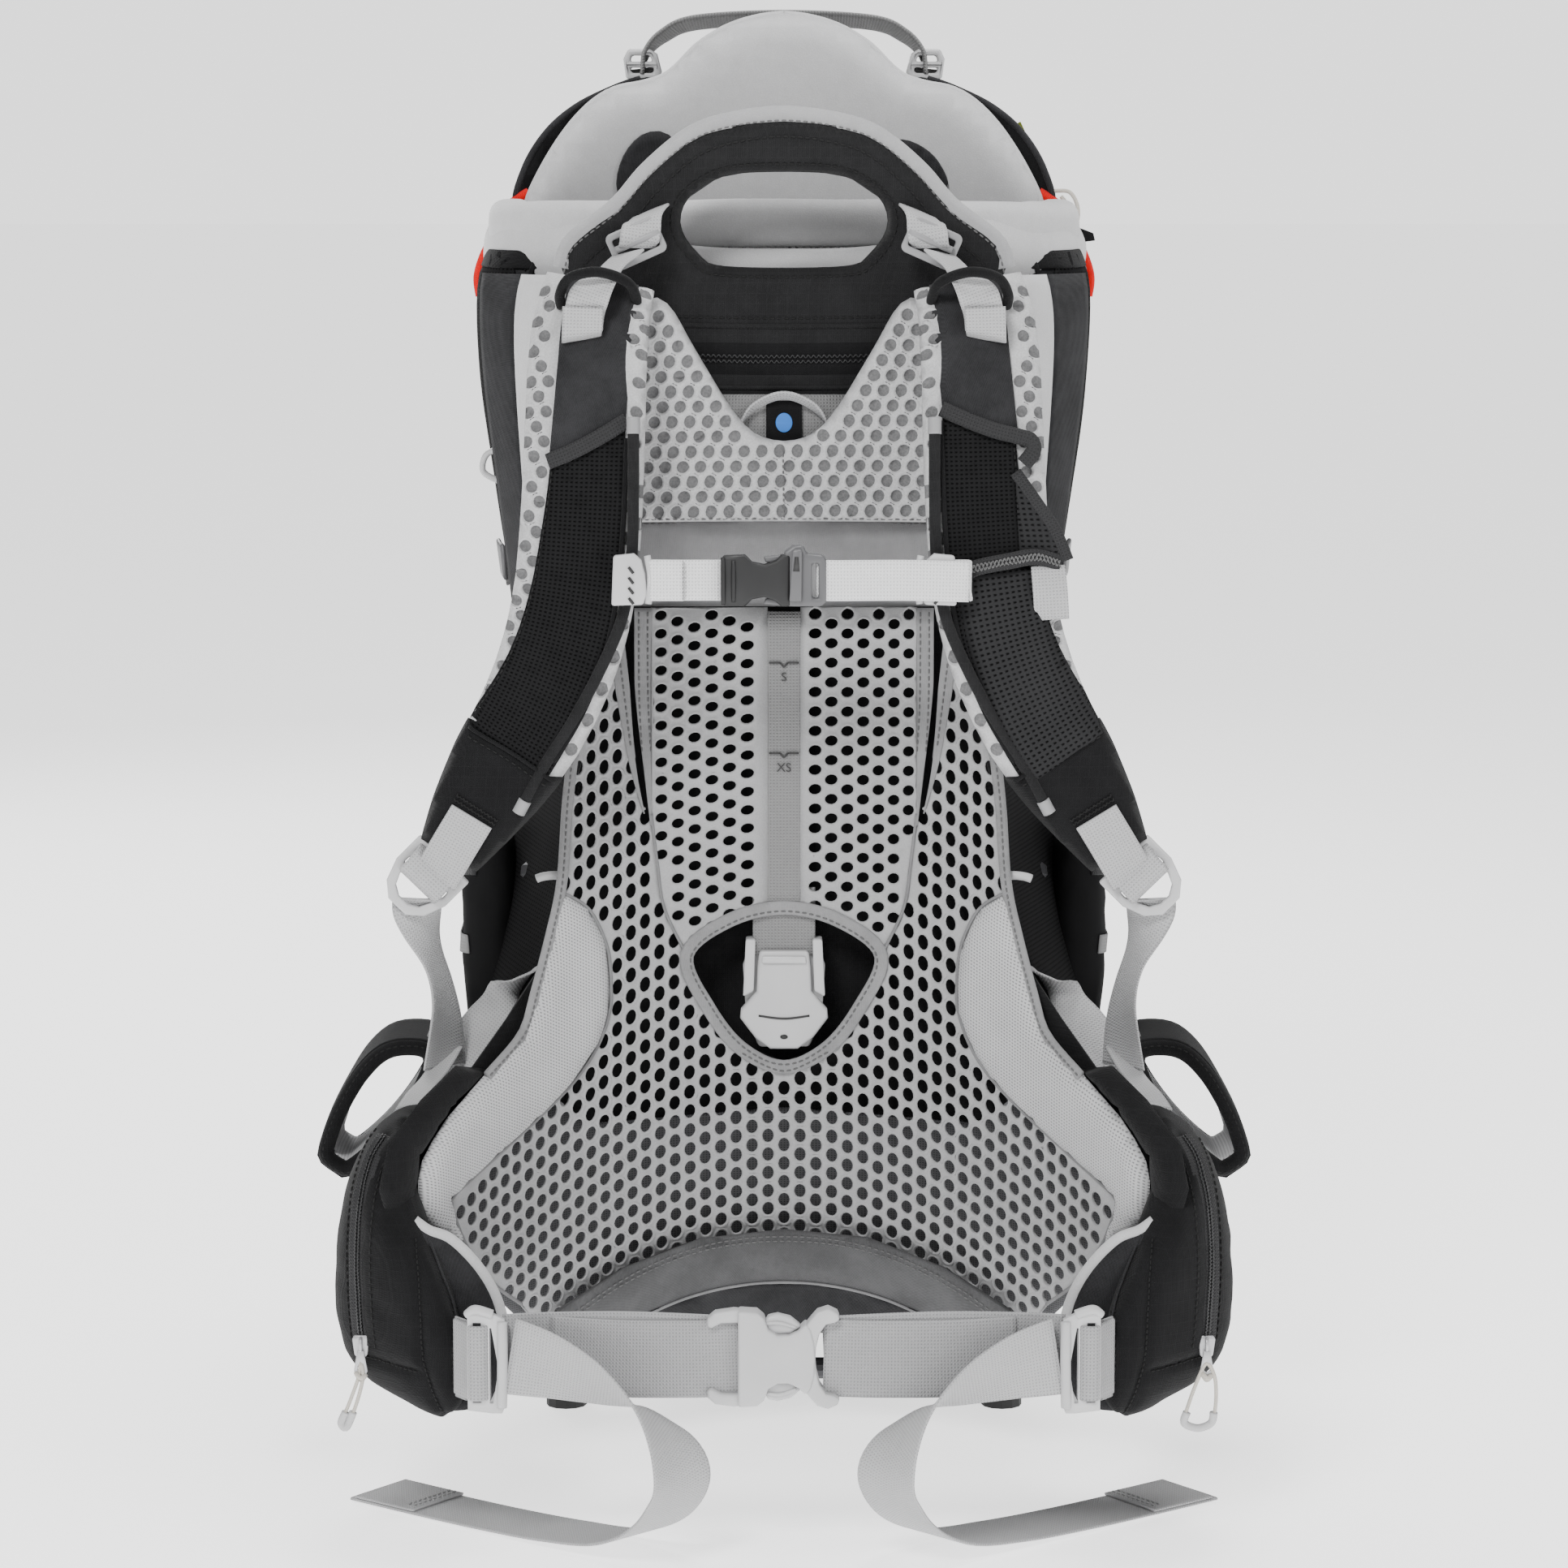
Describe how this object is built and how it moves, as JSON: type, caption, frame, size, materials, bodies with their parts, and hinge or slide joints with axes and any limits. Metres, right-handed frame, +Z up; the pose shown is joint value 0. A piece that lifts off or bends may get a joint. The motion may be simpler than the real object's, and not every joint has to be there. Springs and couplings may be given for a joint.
{
  "type": "framed child carrier backpack",
  "caption": "Child carrier backpack on an open kickstand: tube frame, suspended mesh back, padded harness, hip belt with pockets, and a child cockpit behind.",
  "frame": {"origin": "on the floor at the middle of the footprint, measured without the two loose belt ends", "axes": "+Z up, +X to the right seen from the wearer's side, wearer at -Y and child at +Y"},
  "size_m": [0.484, 0.5393, 0.7511],
  "materials": {
    "frame_tube": "dark grey powder coat, satin",
    "rubber": "matt rubber",
    "black_plastic": "fine moulded texture",
    "grey_plastic": "light grey moulded acetal, satin",
    "dark_grey_plastic": "moulded acetal, satin",
    "zip_metal": "plated zip pull with light cord",
    "panel_mesh": "perforated suspension mesh, light grey",
    "grey_fabric": "mid grey packcloth",
    "dark_fabric": "charcoal packcloth",
    "black_fabric": "black ripstop packcloth",
    "brushed_fabric": "pale grey brushed tricot",
    "spacer_mesh": "pale spacer mesh with round dimples",
    "light_webbing": "light grey woven webbing",
    "fine_mesh": "fine light grey netting",
    "black_mesh": "fine black netting",
    "red_trim": "red packcloth accents"
  },
  "bodies": {
    "frame": {"main_frame_tube": "frame_tube", "base_bar": "frame_tube", "seat_hoop": "frame_tube", "base_foot_L": "rubber", "base_foot_R": "rubber", "kickstand_bracket_L": "black_plastic", "kickstand_bracket_R": "black_plastic", "belt_adjuster_L": "grey_plastic", "belt_adjuster_R": "grey_plastic", "belt_buckle_female": "grey_plastic", "torso_lock_body": "grey_plastic", "back_panel_mesh": "panel_mesh", "size_strip": "grey_fabric", "lumbar_band": "dark_fabric", "cockpit_shell": "dark_fabric", "sunshade_pocket": "dark_fabric", "seat_pad": "dark_fabric", "handle_panel": "black_fabric", "child_harness": "black_fabric", "storage_compartment": "black_fabric", "side_pocket_L": "black_fabric", "side_pocket_R": "black_fabric", "hip_pocket_L": "black_fabric", "hip_pocket_R": "black_fabric", "headrest_pad": "brushed_fabric", "front_roll_pad": "brushed_fabric", "hip_pad_L": "spacer_mesh", "hip_pad_R": "spacer_mesh", "belt_webbing_L": "light_webbing", "belt_tail_L": "light_webbing", "belt_tail_R": "light_webbing"},
    "kickstand": {"kickstand_tube": "frame_tube", "kickstand_foot_L": "rubber", "kickstand_foot_R": "rubber"},
    "lock_lever": {"torso_lock_lever": "grey_plastic"},
    "harness": {"yoke_panel": "grey_fabric", "yoke_pad": "spacer_mesh", "shoulder_strap_L": "black_fabric", "shoulder_strap_R": "black_fabric", "load_lifter_webbing_L": "light_webbing", "load_lifter_webbing_R": "light_webbing", "lower_webbing_L": "light_webbing", "lower_webbing_R": "light_webbing"},
    "lower_adjuster_left": {"lower_adjuster_L": "grey_plastic"},
    "lower_adjuster_right": {"lower_adjuster_R": "grey_plastic"},
    "lifter_buckle_left": {"load_lifter_buckle_L": "grey_plastic"},
    "lifter_buckle_right": {"load_lifter_buckle_R": "grey_plastic"},
    "chest_strap": {"chest_slider_L": "grey_plastic", "chest_slider_R": "grey_plastic", "chest_webbing_L": "light_webbing", "chest_buckle_female": "black_plastic"},
    "chest_plug": {"chest_buckle_male": "dark_grey_plastic", "chest_webbing_R": "light_webbing"},
    "belt_plug": {"belt_buckle_male": "grey_plastic", "belt_webbing_R": "light_webbing"},
    "zip_left": {"zip_slider_L": "zip_metal"},
    "zip_right": {"zip_slider_R": "zip_metal"},
    "stirrup_left": {"foot_stirrup_L": "black_fabric"},
    "stirrup_right": {"foot_stirrup_R": "black_fabric"},
    "grab_handle": {"rear_grab_handle": "light_webbing"}
  },
  "joints": [
    {"name": "kickstand_fold", "type": "hinge", "parent": "frame", "child": "kickstand", "pos_m": [0, 0.13525, 0.252], "axis": [1, 0, 0], "range_deg": [-37, 0]},
    {"name": "torso_adjust", "type": "slide", "parent": "frame", "child": "harness", "axis": [0, 0, 1], "range_m": [-0.076, 0], "deforming": ["load_lifter_webbing_L", "load_lifter_webbing_R", "lower_webbing_L", "lower_webbing_R"]},
    {"name": "torso_lock_flip", "type": "hinge", "parent": "frame", "child": "lock_lever", "pos_m": [0, -0.0725, 0.2652], "axis": [1, 0, 0], "range_deg": [-45, 0]},
    {"name": "chest_strap_height", "type": "slide", "parent": "harness", "child": "chest_strap", "axis": [0, 0, 1], "range_m": [-0.02, 0.06]},
    {"name": "chest_buckle_release", "type": "slide", "parent": "chest_strap", "child": "chest_plug", "axis": [1, 0, 0], "range_m": [0, 0.02]},
    {"name": "belt_buckle_release", "type": "slide", "parent": "frame", "child": "belt_plug", "axis": [1, 0, 0], "range_m": [0, 0.03]},
    {"name": "lower_adjuster_tilt_left", "type": "hinge", "parent": "harness", "child": "lower_adjuster_left", "pos_m": [-0.171, -0.13275, 0.323], "axis": [0.7071, 0, -0.7071], "range_deg": [-20, 0]},
    {"name": "lower_adjuster_tilt_right", "type": "hinge", "parent": "harness", "child": "lower_adjuster_right", "pos_m": [0.171, -0.13275, 0.323], "axis": [0.7071, 0, 0.7071], "range_deg": [-20, 0]},
    {"name": "lifter_buckle_tilt_left", "type": "hinge", "parent": "frame", "child": "lifter_buckle_left", "pos_m": [-0.0706, -0.08675, 0.6385], "axis": [0.9136, 0, 0.4067], "range_deg": [-20, 0]},
    {"name": "lifter_buckle_tilt_right", "type": "hinge", "parent": "frame", "child": "lifter_buckle_right", "pos_m": [0.0706, -0.08675, 0.6385], "axis": [0.9136, 0, -0.4067], "range_deg": [-20, 0]},
    {"name": "hip_zip_left", "type": "slide", "parent": "frame", "child": "zip_left", "axis": [0, 0, 1], "range_m": [0, 0.085]},
    {"name": "hip_zip_right", "type": "slide", "parent": "frame", "child": "zip_right", "axis": [0, 0, 1], "range_m": [0, 0.085]},
    {"name": "stirrup_swing_left", "type": "hinge", "parent": "frame", "child": "stirrup_left", "pos_m": [-0.177, -0.01475, 0.213], "axis": [0, 1, 0], "range_deg": [-12, 25]},
    {"name": "stirrup_swing_right", "type": "hinge", "parent": "frame", "child": "stirrup_right", "pos_m": [0.177, -0.01475, 0.213], "axis": [0, -1, 0], "range_deg": [-12, 25]},
    {"name": "grab_handle_fold", "type": "hinge", "parent": "frame", "child": "grab_handle", "pos_m": [0, 0.18925, 0.712], "axis": [1, 0, 0], "range_deg": [-45, 10]}
  ]
}
